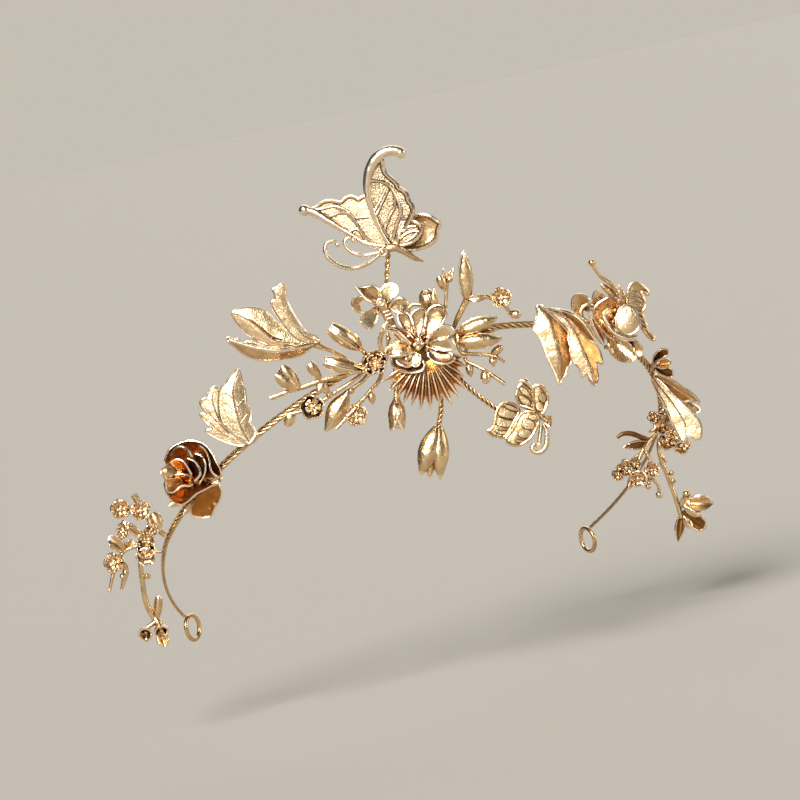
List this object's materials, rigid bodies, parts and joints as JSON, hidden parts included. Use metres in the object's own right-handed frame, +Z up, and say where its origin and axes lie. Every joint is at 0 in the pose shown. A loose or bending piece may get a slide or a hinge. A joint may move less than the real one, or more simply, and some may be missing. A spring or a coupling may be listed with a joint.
{
  "type": "bridal crown headband",
  "caption": "Horseshoe headband of wound gold wire set with cast butterflies, leaves, roses, buds and blossoms, with a tie ring at each end.",
  "frame": {"origin": "the spot at the front where the band rests on the head", "axes": "+X to the right of the front view, +Y to the back of the head, +Z up as worn"},
  "size_m": [0.1845, 0.1069, 0.1349],
  "materials": {
    "gold_wire": "satin gold plate on wound wire",
    "cast_gold": "matte champagne gold plate with polished rims"
  },
  "bodies": {
    "root": {"band_wire": "gold_wire", "left_end_ring": "gold_wire", "right_end_ring": "gold_wire", "centre_flower": "cast_gold", "fan_leaf": "cast_gold", "five_petal_flower": "cast_gold", "small_rosette": "cast_gold", "bud_left_upper": "cast_gold", "bud_left_lower": "cast_gold", "bud_pair_right": "cast_gold", "bud_top": "cast_gold", "sprig_top": "cast_gold", "flower_branch_top": "cast_gold", "sprig_right_lower": "cast_gold", "sprig_right_under": "cast_gold", "twig_left_long": "cast_gold", "twig_left_middle": "cast_gold", "twig_left_low": "cast_gold", "leaf_bud_left": "cast_gold", "hanging_bud_small": "cast_gold", "hanging_bud_large": "cast_gold", "small_butterfly": "cast_gold", "large_butterfly": "cast_gold", "three_lobed_leaf_front": "cast_gold", "leaf_left": "cast_gold", "rose_left": "cast_gold", "blossom_cluster_left": "cast_gold", "sprig_left_hanging": "cast_gold", "three_lobed_leaf_right": "cast_gold", "orchid_right": "cast_gold", "twig_right_top": "cast_gold", "butterfly_right": "cast_gold", "small_flower_right": "cast_gold", "long_leaf_right": "cast_gold", "blossom_cluster_right": "cast_gold", "sprig_right_hanging": "cast_gold", "stem_flower_right": "cast_gold"}
  },
  "joints": []
}
